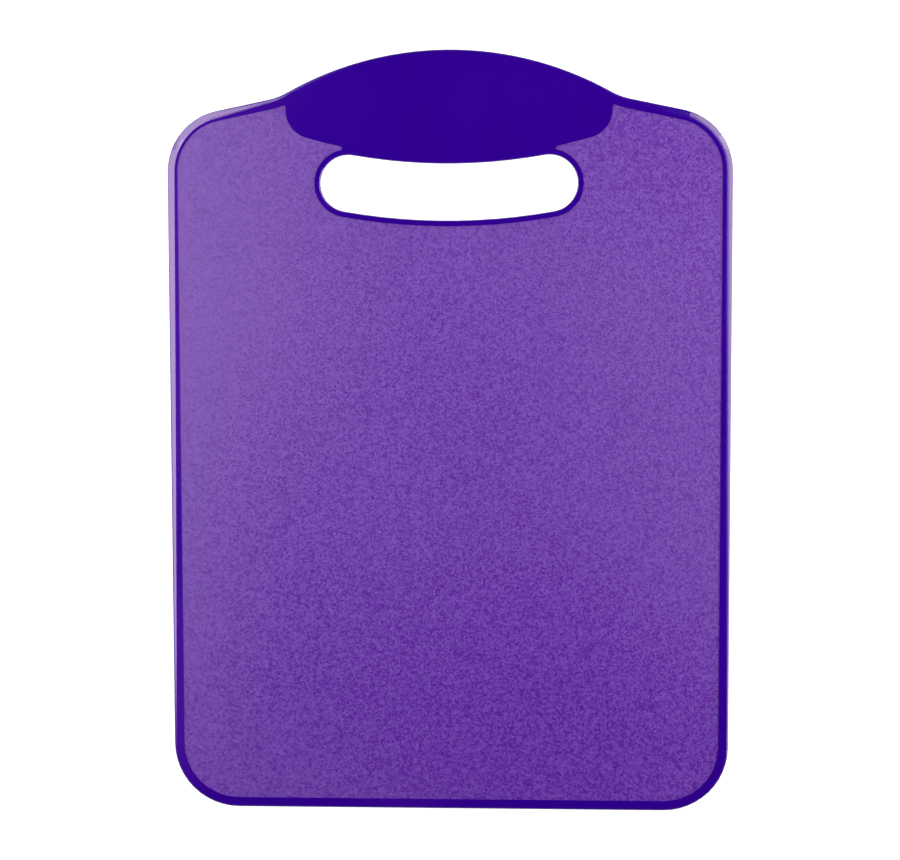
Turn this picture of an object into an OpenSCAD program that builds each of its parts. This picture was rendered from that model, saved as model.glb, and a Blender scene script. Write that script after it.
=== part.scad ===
// Flexible cutting mat with a hand slot, lying flat. Sizes in millimetres.
// A thin frosted sheet is held all round by one dark, softer moulding, which is
// the raised rim, the grip pad of the handle and the lining of the hand slot.
// The rim falls away in a crowned flank, which starts as a hair line at the
// straight edge, is widest round the shoulders and runs out in the neck.
// Both faces are alike. The origin is under the middle of the mat, +Y points to
// the handle and +Z up.

/* [Outline] */
// Overall width
mat_w = 250; // [220:1:320]
// Overall length, from the straight edge to the crown of the handle
mat_l = 340; // [260:1:440]
// Radius of the two corners at the straight edge
foot_r = 29; // [12:0.5:45]
// Radius of the two corners beside the handle
shoulder_r = 27.5; // [15:0.5:40]
// Slope of the straight stretch from shoulder to neck, in degrees
shoulder_slope = 11.8; // [9:0.1:15]
// Radius of the hollow between shoulder and handle
neck_r = 29; // [15:1:40]
// Slope where the hollow turns into the handle, in degrees
neck_slope = 29.1; // [26:0.1:32]
// Radius of the arched top of the handle
handle_r = 147; // [134:1:160]

/* [Rim] */
// Thickness of the rim and of the grip pad
rim_t = 2.6; // [2.4:0.1:4]
// Width of the rim seen from above
rim_w = 4.4; // [4:0.1:8]
// Radius of the rim's outer edges; where the flank is wide they get a smaller one
edge_r = 0.8; // [0.4:0.05:1]
// Width of the flank round the shoulders, where it is widest
flank_w = 3; // [1.5:0.1:3.1]
// Width of the flank where the neck begins
flank_neck_w = 1.2; // [0.4:0.1:2.4]
// Width of the flank at the straight edge and round the handle, a hair line
flank_least_w = 0.4; // [0.2:0.1:1]
// Radius of the flank's crowned section
flank_r = 20; // [15:1:40]
// Tilt of the flank where it leaves the crest, in degrees
flank_tilt = 12; // [4:1:15]

/* [Cutting panel] */
// Thickness of the frosted sheet
panel_t = 2; // [1.6:0.1:2.3]
// Thickness of the tongue that the rim grips
tongue_t = 1; // [0.6:0.1:1.2]
// How far the tongue reaches under the rim
tongue_w = 2.2; // [1:0.1:2.6]

/* [Hand slot] */
// Length of the slot, end to end
slot_w = 114; // [90:1:122]
// Height of the slot, for four fingers
slot_h = 25; // [20:1:30]
// Radius of the line along the middle of the slot
slot_r = 255; // [180:5:400]
// From the crown of the handle to the middle of the slot
slot_drop = 62.4; // [56:0.2:68]
// Width of the dark band round the slot
slot_band_w = 2.5; // [2:0.1:4]
// Thickness of the lining between the slot and the buried tongue
slot_lining = 1.2; // [0.8:0.1:1.6]
// Radius of the rounded edges of the slot
slot_edge_r = 0.6; // [0.3:0.1:0.8]

/* [Grip pad] */
// Width of the pad across the handle
grip_w = 144; // [138:1:152]
// Radius of the pad's lower edge
grip_edge_r = 230; // [200:5:260]
// From the slot to the pad's lower edge, at the middle
grip_gap = 2.75; // [1:0.05:3.6]
// Radius of the pad's two lower corners
grip_corner_r = 12.5; // [6:0.5:18]
// Radius of the four rounded tips of the frosted area beside the pad
tip_r = 0.9; // [0.4:0.1:1.2]

/* [Anchors] */
// Diameter of the plugs that tie the two skins of the pad through the sheet
anchor_d = 6; // [4:0.5:8]
// Spacing of the plugs along a row
anchor_pitch = 16; // [12:1:20]
// Plugs in the row near the crown
anchor_count = 5; // [3:2:7]
// From the crown of the handle to the first row
anchor_drop = 15; // [12:1:18]
// From the first row to the second
anchor_row_gap = 17; // [12:1:19]

/* [Hidden] */
// Sides of a full circle; true arcs need only that it is above twelve
$fn = 96;
// Largest turn between two stations on a corner and on a long arc, in degrees
corner_step = 7.5;
long_step = 2;
// Longest stretch between two stations on a straight side
straight_step = 24;
// Facets across the rim's rounded edge and across its flank
lip_steps = 3;
flank_steps = 4;
// Largest share of the edge's height that its rounding takes
lip_share = 0.9;
// Turn between two points of the slot's rounded edge, in degrees
slot_edge_step = 22.5;
// How far a tip's circle reaches over its neighbours, so that the curves cross
tip_seat = 0.01;
// Extra height of a cut past the face it leaves
past = 1;
half_w = mat_w / 2;
half_l = mat_l / 2;
mid_z = rim_t / 2;

// Centres of the arcs of the outline, right half
function along(slope) = [sin(slope), cos(slope)];
foot_c = [half_w - foot_r, foot_r - half_l];
handle_c = [0, half_l - handle_r];
neck_c = handle_c + (handle_r + neck_r) * along(neck_slope);
neck_end = neck_c - neck_r * along(shoulder_slope);
shoulder_x = half_w - shoulder_r;
shoulder_reach = neck_end * along(shoulder_slope) - shoulder_r;
shoulder_y = (shoulder_reach - shoulder_x * sin(shoulder_slope)) / cos(shoulder_slope);
shoulder_c = [shoulder_x, shoulder_y];

// The slot follows an arc whose centre lies beyond the handle
slot_c = [0, half_l - slot_drop + slot_r];
slot_turn = asin((slot_w - slot_h) / 2 / slot_r);
slot_top = half_l - slot_drop + slot_h / 2;
slot_end_c = slot_c + slot_r * [sin(slot_turn), -cos(slot_turn)];

// The grip pad's lower edge and its corners
grip_c = [0, slot_top + grip_gap + grip_edge_r];
grip_corner_x = grip_w / 2 - grip_corner_r;
grip_corner_turn = asin(grip_corner_x / (grip_edge_r - grip_corner_r));
grip_corner_y = grip_c[1] - (grip_edge_r - grip_corner_r) * cos(grip_corner_turn);

// The right half's mirror image of a point
function across(p) = [-p[0], p[1]];

// Where a circle about a and one about b cross, to the right of the line from a to b
function meet(a, ra, b, rb) =
    let (
        d = norm(b - a),
        u = (b - a) / d,
        x = (d * d + ra * ra - rb * rb) / (2 * d))
    a + x * u + sqrt(ra * ra - x * x) * [u[1], -u[0]];

// Centres of the frosted area's tips, between band and pad and between pad and rim
tip_reach = tip_r - tip_seat;
low_tip = meet(slot_end_c, slot_h / 2 + slot_band_w + tip_reach, grip_c, grip_edge_r + tip_reach);
high_tip_x = grip_w / 2 + tip_reach;
high_tip_drop = sqrt(pow(neck_r + rim_w + tip_reach, 2) - pow(neck_c[0] - high_tip_x, 2));
high_tip = [high_tip_x, neck_c[1] - high_tip_drop];

// Stations on an arc from angle a to angle b: the point, its outward normal and
// the width of the rim's flank there, which goes evenly from w[0] to w[1].
// side is 1 where the solid is inside the arc and -1 where it is outside.
function arc(c, r, a, b, step, side = 1, w = [0, 0]) =
    let (n = ceil(abs(b - a) / step))
    [for (i = [0 : n])
        let (t = a + (b - a) * i / n, u = [cos(t), sin(t)])
        [c + r * u, side * u, w[0] + (w[1] - w[0]) * i / n]];

// The stations on the straight stretch from the end of list a to the start of list b
function straight(a, b) =
    let (p = a[len(a) - 1], q = b[0], n = ceil(norm(q[0] - p[0]) / straight_step))
    [for (i = [1 : n - 1]) p + (q - p) * (i / n)];

// A list without its first head and its last tail entries
function trim(list, head, tail) = [for (i = [head : len(list) - 1 - tail]) list[i]];

// The stations mirrored to the left half, still anticlockwise
function flip(stations) =
    [for (i = [len(stations) - 1 : -1 : 0])
        let (s = stations[i])
        [across(s[0]), across(s[1]), s[2]]];

// The outline's right half, anticlockwise from the straight edge to the crown
function right_side() =
    let (
        least = [flank_least_w, flank_least_w],
        widest = [flank_w, flank_w],
        fading = [flank_neck_w, flank_least_w],
        foot = arc(foot_c, foot_r, -90, 0, corner_step, 1, least),
        shoulder = arc(shoulder_c, shoulder_r, 0, 90 - shoulder_slope, corner_step, 1, widest),
        neck = arc(neck_c, neck_r, 270 - shoulder_slope, 270 - neck_slope, corner_step, -1, fading),
        handle = arc(handle_c, handle_r, 90 - neck_slope, 90, long_step, 1, least))
    concat(foot, straight(foot, shoulder), shoulder, straight(shoulder, neck), trim(neck, 0, 1), handle);

function outline_stations() =
    concat(right_side(), trim(flip(right_side()), 1, 0));

// The slot's wall, anticlockwise; its normals point away from the slot
function slot_stations() =
    let (
        low_r = slot_r + slot_h / 2,
        top_r = slot_r - slot_h / 2,
        cap = arc(slot_end_c, slot_h / 2, slot_turn - 90, slot_turn + 90, corner_step),
        low = arc(slot_c, low_r, -90 - slot_turn, -90 + slot_turn, long_step),
        top = arc(slot_c, top_r, -90 + slot_turn, -90 - slot_turn, long_step, -1))
    concat(trim(low, 1, 1), cap, trim(top, 1, 1), flip(cap));

// One ring of points: the stations moved out by d, at height z
function ring(stations, d, z) = [for (s = stations) [s[0][0] + d * s[1][0], s[0][1] + d * s[1][1], z]];

// A closed solid through rings of equal length, listed from the lowest up
module loft(rings) {
    n = len(rings[0]);
    m = len(rings);
    points = [for (r = rings) for (p = r) p];
    walls = [for (j = [0 : m - 2]) for (i = [0 : n - 1])
        let (k = (i + 1) % n, a = j * n + i, b = a + n, c = (j + 1) * n + k, d = j * n + k)
        each [[a, b, c], [a, c, d]]];
    floor_face = [for (i = [0 : n - 1]) i];
    roof_face = [for (i = [n - 1 : -1 : 0]) (m - 1) * n + i];
    polyhedron(points, concat([floor_face], walls, [roof_face]));
}

// Upper half of the rim's section where its flank has width w, from the upright
// wall over the rounded edge to the crest: inset and height over the middle plane
function edge_section(w) =
    let (
        tilt = asin(sin(flank_tilt) + w / flank_r),
        drop = flank_r * (cos(flank_tilt) - cos(tilt)),
        lip_r = min(edge_r, lip_share * (rim_t / 2 - drop) / cos(tilt)),
        wall = rim_t / 2 - drop - lip_r * cos(tilt))
    concat(
        [for (i = [0 : lip_steps])
            let (t = (90 - tilt) * i / lip_steps)
            [lip_r * (1 - cos(t)), wall + lip_r * sin(t)]],
        [for (i = [1 : flank_steps])
            let (x = w * i / flank_steps, t = asin(sin(tilt) - x / flank_r))
            [lip_r * (1 - sin(tilt)) + x, rim_t / 2 - flank_r * (cos(flank_tilt) - cos(t))]]);

// Point j of every station's section as one ring, above (up 1) or below (up -1)
// the middle plane
function edge_ring(stations, sections, j, up) =
    [for (i = [0 : len(stations) - 1])
        let (e = sections[i][j], p = stations[i][0] - e[0] * stations[i][1])
        [p[0], p[1], mid_z + up * e[1]]];

// The whole mat as one blank with its rounded edge
module blank() {
    stations = outline_stations();
    sections = [for (s = stations) edge_section(s[2])];
    last = len(sections[0]) - 1;
    rings = concat(
        [for (j = [last : -1 : 0]) edge_ring(stations, sections, j, -1)],
        [for (j = [0 : last]) edge_ring(stations, sections, j, 1)]);
    loft(rings);
}

// The slot through the mat, flared by the rounding of its two edges
module slot_cut() {
    stations = slot_stations();
    flare = [for (t = [90 : -slot_edge_step : 0]) slot_edge_r * [1 - cos(t), 1 - sin(t)]];
    last = len(flare) - 1;
    rings = concat(
        [ring(stations, slot_edge_r, -past)],
        [for (i = [0 : last]) ring(stations, flare[i][0], flare[i][1])],
        [for (i = [last : -1 : 0]) ring(stations, flare[i][0], rim_t - flare[i][1])],
        [ring(stations, slot_edge_r, rim_t + past)]);
    loft(rings);
}

// The outline moved in by d, with true arcs
module outline(d) {
    to_shoulder = along(shoulder_slope);
    neck_point = neck_c - (neck_r + d) * along(neck_slope);
    right = [
        [foot_c[0], d - half_l],
        foot_c,
        [half_w - d, foot_c[1]],
        [half_w - d, shoulder_c[1]],
        shoulder_c,
        shoulder_c + (shoulder_r - d) * to_shoulder,
        neck_c - (neck_r + d) * to_shoulder,
        neck_point];
    left = [for (i = [len(right) - 1 : -1 : 0]) across(right[i])];
    difference() {
        union() {
            polygon(concat(right, left));
            for (s = [0, 1]) mirror([s, 0]) {
                translate(foot_c) circle(foot_r - d);
                translate(shoulder_c) circle(shoulder_r - d);
            }
            intersection() {
                translate(handle_c) circle(handle_r - d);
                translate([-neck_point[0], 0]) square([2 * neck_point[0], mat_l]);
            }
        }
        for (s = [0, 1]) mirror([s, 0]) translate(neck_c) circle(neck_r + d);
    }
}

// The slot made larger all round by d, with true arcs
module slot_shape(d) {
    half_h = slot_h / 2 + d;
    difference() {
        intersection() {
            translate(slot_c) circle(slot_r + half_h);
            polygon([
                slot_c,
                slot_c + 2 * slot_r * [sin(slot_turn), -cos(slot_turn)],
                slot_c + 2 * slot_r * [-sin(slot_turn), -cos(slot_turn)]]);
        }
        translate(slot_c) circle(slot_r - half_h);
    }
    for (s = [0, 1]) mirror([s, 0]) translate(slot_end_c) circle(half_h);
}

// The pad seen from above, with what closes the cusps beyond the rounded tips.
// It runs on past the crown, where the outline ends it.
module grip_shape() {
    intersection() {
        translate(grip_c) circle(grip_edge_r);
        polygon([
            grip_c,
            grip_c + 2 * grip_edge_r * [sin(grip_corner_turn), -cos(grip_corner_turn)],
            grip_c + 2 * grip_edge_r * [-sin(grip_corner_turn), -cos(grip_corner_turn)]]);
    }
    translate([-grip_w / 2, grip_corner_y]) square([grip_w, half_l + past - grip_corner_y]);
    difference() {
        polygon([low_tip, slot_end_c, across(slot_end_c), across(low_tip), grip_c]);
        for (s = [0, 1]) mirror([s, 0]) translate(low_tip) circle(tip_r);
    }
    for (s = [0, 1]) mirror([s, 0]) {
        translate([grip_corner_x, grip_corner_y]) circle(grip_corner_r);
        difference() {
            polygon([high_tip, [grip_corner_x, high_tip[1]], [grip_corner_x, neck_c[1]], neck_c]);
            translate(high_tip) circle(tip_r);
        }
    }
}

// The frosted area that is open to view on both faces
module window() {
    difference() {
        outline(rim_w);
        grip_shape();
        slot_shape(slot_band_w);
    }
}

// Two rows of plug positions on arcs about the centre of the handle's arch
module at_anchors() {
    for (row = [0, 1]) {
        r = handle_r - anchor_drop - row * anchor_row_gap;
        turn = 2 * asin(anchor_pitch / 2 / r);
        count = anchor_count + row;
        for (i = [0 : count - 1])
            translate(handle_c) rotate((i - (count - 1) / 2) * turn) translate([0, r]) children();
    }
}

// The thin web that the surround grips: under the rim, the slot's band and the pad
module tongue() {
    translate([0, 0, mid_z - tongue_t / 2]) linear_extrude(tongue_t)
        difference() {
            outline(rim_w - tongue_w);
            slot_shape(slot_lining);
            at_anchors() circle(d = anchor_d);
        }
}

module cutting_panel() {
    color([0.45, 0.29, 0.67]) {
        translate([0, 0, mid_z - panel_t / 2]) linear_extrude(panel_t) window();
        tongue();
    }
}

module rim_grip() {
    color([0.19, 0, 0.56]) difference() {
        blank();
        slot_cut();
        translate([0, 0, -past]) linear_extrude(rim_t + 2 * past) window();
        tongue();
    }
}

cutting_panel();
rim_grip();
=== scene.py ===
"""A flexible cutting mat lying flat on a white table, seen from above.

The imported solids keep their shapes. This script gives them their finish
and sets up the table, the light and the camera. Lengths are in metres,
except the camera's sensor and lens, which Blender counts in millimetres.
"""

import math

import bpy
from mathutils import Euler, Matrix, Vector


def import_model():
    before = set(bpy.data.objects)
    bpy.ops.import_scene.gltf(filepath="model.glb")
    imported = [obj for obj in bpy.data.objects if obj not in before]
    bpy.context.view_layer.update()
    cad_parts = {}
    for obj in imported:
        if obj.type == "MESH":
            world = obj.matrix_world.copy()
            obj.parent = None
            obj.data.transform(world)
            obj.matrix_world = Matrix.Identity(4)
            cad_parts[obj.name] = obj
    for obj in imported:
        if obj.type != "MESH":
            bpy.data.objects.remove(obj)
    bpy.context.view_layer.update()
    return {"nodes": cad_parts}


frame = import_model()

# The camera, as the photograph's perspective gives it. The turn is in
# degrees, and the offset follows the camera's own axes.
IMAGE_W = 900
FOCAL_PIXELS = 2500
SENSOR_MM = 36
NEAR_CLIP = 0.01
CAMERA_TURN = (-5.679, 2.805, -0.127)
CAMERA_OFFSET = (0.00032, 0.00205, 1.1145)
# Height of the plane on which the camera was fitted
SIGHT_PLANE = 0.002

# Share of a softbox's width over which its light fades, both edges together
FADE = 0.3
WHITE = (1, 1, 1)
# The lamps on the right are a touch warmer than those on the left
WARM = (1, 0.95, 0.87)

# Between these two, which are sines of the elevation, the room turns from pale to dark
PALE_BELOW = 0.3
DARK_ABOVE = 0.6
PALE_ROOM = (1, 1, 1, 1)
DARK_ROOM = (0.004, 0.004, 0.004, 1)

# The table lies a hair under the mat, so that no two faces coincide
TABLE_HALF = 6
TABLE_LEVEL = -0.0001
TABLE_COLOUR = (0.8, 0.8, 0.8, 1)
# Makes the table white for the camera and puts no light on the mat
TABLE_GLOW = 0.75

# Nearly all values of a noise lie between these
NOISE_RANGE = (0.3, 0.7)
# The surround turns from its dark tone to a painted pale glow as the noise of its patches goes from the
# first to the second
PAINTED_GLOW_RANGE = (0.46, 0.38)
GRAINS_PER_METRE = 1300
# Picked so that the sheet's cloud and the surround's patches of painted glow fall roughly where the
# photograph has them
CLOUD_SEED = 1304
PAINTED_GLOW_SEED = 404


def add(tree, kind, inputs, **settings):
    """Adds a node. Its inputs take plain values or other nodes' outputs."""
    node = tree.nodes.new(kind)
    for name, value in settings.items():
        setattr(node, name, value)
    for name, value in inputs.items():
        if isinstance(value, bpy.types.NodeSocket):
            tree.links.new(value, node.inputs[name])
        else:
            node.inputs[name].default_value = value
    return node


def math_node(tree, operation, *values):
    """The outcome of one operation on plain values or other nodes' outputs."""
    return add(tree, "ShaderNodeMath", dict(enumerate(values)), operation=operation).outputs[0]


def remap(tree, value, before, after, **settings):
    """Maps one range of values to another and holds at both ends."""
    inputs = {
        "Value": value,
        "From Min": before[0],
        "From Max": before[1],
        "To Min": after[0],
        "To Max": after[1],
    }
    return add(tree, "ShaderNodeMapRange", inputs, **settings).outputs[0]


def mix(tree, share, first, second):
    """Blends two colours."""
    inputs = {"Factor": share, "A": first, "B": second}
    return add(tree, "ShaderNodeMix", inputs, data_type="RGBA").outputs["Result"]


def noise(tree, place, scale, detail, seed=0):
    """A random pattern, as many waves to the metre as the scale says."""
    inputs = {"Vector": place, "W": seed, "Scale": scale, "Detail": detail, "Roughness": 0.5}
    return add(tree, "ShaderNodeTexNoise", inputs, noise_dimensions="4D").outputs["Fac"]


def bump(tree, height, strength, distance):
    """The direction that a slightly uneven surface faces."""
    inputs = {"Height": height, "Strength": strength, "Distance": distance}
    return add(tree, "ShaderNodeBump", inputs).outputs[0]


def camera():
    """Looks almost straight down on the mat."""
    data = bpy.data.cameras.new("camera")
    data.sensor_width = SENSOR_MM
    data.lens = FOCAL_PIXELS / IMAGE_W * SENSOR_MM
    data.clip_start = NEAR_CLIP
    cam = bpy.data.objects.new("camera", data)
    bpy.context.scene.collection.objects.link(cam)
    turn = Euler([math.radians(angle) for angle in CAMERA_TURN], "XYZ")
    cam.rotation_euler = turn
    cam.location = turn.to_matrix() @ Vector(CAMERA_OFFSET) + Vector((0, 0, SIGHT_PLANE))
    bpy.context.scene.camera = cam


def softbox(name, azimuth, elevation, distance, size, radiance, colour):
    """A soft lamp that faces the middle of the mat and fades out at its edges.

    The azimuth is counted from +X towards +Y, both angles in degrees.
    The size is where the light has fallen to half.
    """
    data = bpy.data.lights.new(name, "AREA")
    data.shape = "RECTANGLE"
    data.size, data.size_y = [side / (1 - FADE / 2) for side in size]
    data.energy = radiance * math.pi * data.size * data.size_y
    data.color = colour
    fade_out(data)
    lamp = bpy.data.objects.new(name, data)
    bpy.context.scene.collection.objects.link(lamp)
    turn = math.radians(azimuth)
    rise = math.radians(elevation)
    way = Vector((math.cos(rise) * math.cos(turn), math.cos(rise) * math.sin(turn), math.sin(rise)))
    lamp.location = distance * way
    lamp.rotation_euler = (-way).to_track_quat("-Z", "Y").to_euler()


def fade_out(data):
    """Dims a lamp smoothly towards its four edges."""
    data.use_nodes = True
    tree = data.node_tree
    place = add(tree, "ShaderNodeNewGeometry", {}).outputs["Parametric"]
    split = add(tree, "ShaderNodeSeparateXYZ", {0: place})
    shares = []
    for across in split.outputs[:2]:
        # Goes up from 0 at one edge to the middle, and down to 0 at the other edge
        inset = math_node(tree, "PINGPONG", across, 0.5)
        share = remap(tree, inset, (0, FADE / 2), (0, 1), interpolation_type="SMOOTHSTEP")
        shares.append(share)
    both = math_node(tree, "MULTIPLY", *shares)
    tree.links.new(both, tree.nodes["Emission"].inputs["Strength"])


def world():
    """Dark overhead and pale towards the horizon."""
    room = bpy.data.worlds.new("room")
    bpy.context.scene.world = room
    room.use_nodes = True
    tree = room.node_tree
    tree.nodes.clear()
    way = add(tree, "ShaderNodeTexCoord", {}).outputs["Generated"]
    height = add(tree, "ShaderNodeSeparateXYZ", {0: way}).outputs["Z"]
    ramp = add(tree, "ShaderNodeValToRGB", {"Fac": height})
    low, high = ramp.color_ramp.elements
    low.position = PALE_BELOW
    low.color = PALE_ROOM
    high.position = DARK_ABOVE
    high.color = DARK_ROOM
    shade = add(tree, "ShaderNodeBackground", {"Color": ramp.outputs["Color"]})
    add(tree, "ShaderNodeOutputWorld", {"Surface": shade.outputs[0]})


def floor():
    """A wide white table that keeps the mat's soft shadow."""
    mesh = bpy.data.meshes.new("table")
    signs = [(-1, -1), (1, -1), (1, 1), (-1, 1)]
    corners = [(x * TABLE_HALF, y * TABLE_HALF, TABLE_LEVEL) for x, y in signs]
    mesh.from_pydata(corners, [], [(0, 1, 2, 3)])
    table = bpy.data.objects.new("table", mesh)
    bpy.context.scene.collection.objects.link(table)
    mat = bpy.data.materials.new("white_table")
    mat.use_nodes = True
    tree = mat.node_tree
    tree.nodes.clear()
    diffuse = add(tree, "ShaderNodeBsdfDiffuse", {"Color": TABLE_COLOUR})
    path = add(tree, "ShaderNodeLightPath", {})
    seen = math_node(tree, "MULTIPLY", path.outputs["Is Camera Ray"], TABLE_GLOW)
    glow = add(tree, "ShaderNodeEmission", {"Strength": seen})
    both = add(tree, "ShaderNodeAddShader", {0: diffuse.outputs[0], 1: glow.outputs[0]})
    add(tree, "ShaderNodeOutputMaterial", {"Surface": both.outputs[0]})
    mesh.materials.append(mat)


def blank_material(name):
    """A new material with its node tree, shader and coordinates on the object."""
    mat = bpy.data.materials.new(name)
    mat.use_nodes = True
    tree = mat.node_tree
    place = add(tree, "ShaderNodeTexCoord", {}).outputs["Object"]
    return mat, tree, tree.nodes["Principled BSDF"], place


def reflect(shader, ior, level, tint):
    """Sets how strongly and in what colour the surface reflects."""
    shader.inputs["IOR"].default_value = ior
    shader.inputs["Specular IOR Level"].default_value = level
    shader.inputs["Specular Tint"].default_value = tint


def finish(tree, shader, colour, roughness, normal):
    """Links the three patterns of a surface to its shader."""
    tree.links.new(colour, shader.inputs["Base Color"])
    tree.links.new(roughness, shader.inputs["Roughness"])
    tree.links.new(normal, shader.inputs["Normal"])


def frosted():
    """The sheet, with a fine grain of about 0.8 mm.

    Each grain draws a lot from 0 to 1, and a high one makes it pale and
    rough. Where the slow cloud is high, the sheet is rougher as a whole
    and its grains differ less.
    """
    mat, tree, shader, place = blank_material("frosted_sheet")
    reflect(shader, ior=1.75, level=0.9, tint=(0.88, 0.8, 0.5, 1))
    grain = add(tree, "ShaderNodeTexVoronoi", {"Vector": place, "Scale": GRAINS_PER_METRE})
    lot = add(tree, "ShaderNodeSeparateColor", {0: grain.outputs["Color"]}).outputs[0]
    cloud = noise(tree, place, scale=5, detail=1, seed=CLOUD_SEED)

    dark_grain = (0.086, 0.004, 0.318, 1)
    pale_grain = (0.128, 0.022, 0.437, 1)
    tone = mix(tree, lot, dark_grain, pale_grain)

    level = remap(tree, cloud, NOISE_RANGE, (0.424, 0.548))
    depth = remap(tree, cloud, NOISE_RANGE, (0.27, 0.18))
    swing = remap(tree, lot, (0, 1), (-0.5, 0.5))
    rough = math_node(tree, "MULTIPLY_ADD", swing, depth, level)

    pits = bump(tree, grain.outputs["Distance"], strength=0.5, distance=0.00005)
    finish(tree, shader, tone, rough, pits)
    return mat


def glossy():
    """The smooth surround, with faint flow marks and a very slight orange peel.

    It is paler where the slow patches are low, most of all along the left side. This paleness is
    painted light: a violet glow that stands in for the left lamps' light spreading through the plastic.
    """
    mat, tree, shader, place = blank_material("gloss_surround")
    reflect(shader, ior=1.55, level=0.94, tint=(1, 0.79, 0.80, 1))
    flow = noise(tree, place, scale=30, detail=2)
    peel = noise(tree, place, scale=400, detail=2)
    # Slow patches that place the painted glow of the left lamps
    glow_noise = noise(tree, place, scale=5, detail=1, seed=PAINTED_GLOW_SEED)

    dark_flow = (0.027, 0, 0.258, 1)
    pale_flow = (0.029, 0, 0.280, 1)
    # Painted light: a paler violet that stands in for the glow of the left lamps along the left side
    painted_glow = (0.058, 0.005, 0.312, 1)
    tone = mix(tree, remap(tree, flow, NOISE_RANGE, (0, 1)), dark_flow, pale_flow)
    tone_and_painted_glow = mix(tree, remap(tree, glow_noise, PAINTED_GLOW_RANGE, (0, 1)), tone, painted_glow)

    rough = remap(tree, flow, NOISE_RANGE, (0.10, 0.14))
    waves = bump(tree, peel, strength=0.05, distance=0.00002)
    finish(tree, shader, tone_and_painted_glow, rough, waves)
    return mat


def dress(node, mat):
    """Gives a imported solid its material."""
    materials = frame["nodes"][node].data.materials
    materials.clear()
    materials.append(mat)


bpy.context.scene.view_settings.view_transform = "Standard"
camera()
world()
floor()
# Name, azimuth, elevation, distance, size, radiance and colour
softbox("left_softbox", 177.2, 41.7, 0.55, (0.462, 0.3), 4.2, WHITE)
softbox("left_back_softbox", 132.4, 37.6, 0.63, (0.285, 0.2), 4.0, WHITE)
softbox("right_softbox", 2.0, 17, 0.55, (0.6, 0.62), 4.2, WARM)
softbox("right_back_softbox", 46.5, 33.5, 0.71, (0.3, 0.3), 4.0, WARM)
dress("cutting_panel", frosted())
dress("rim_grip", glossy())
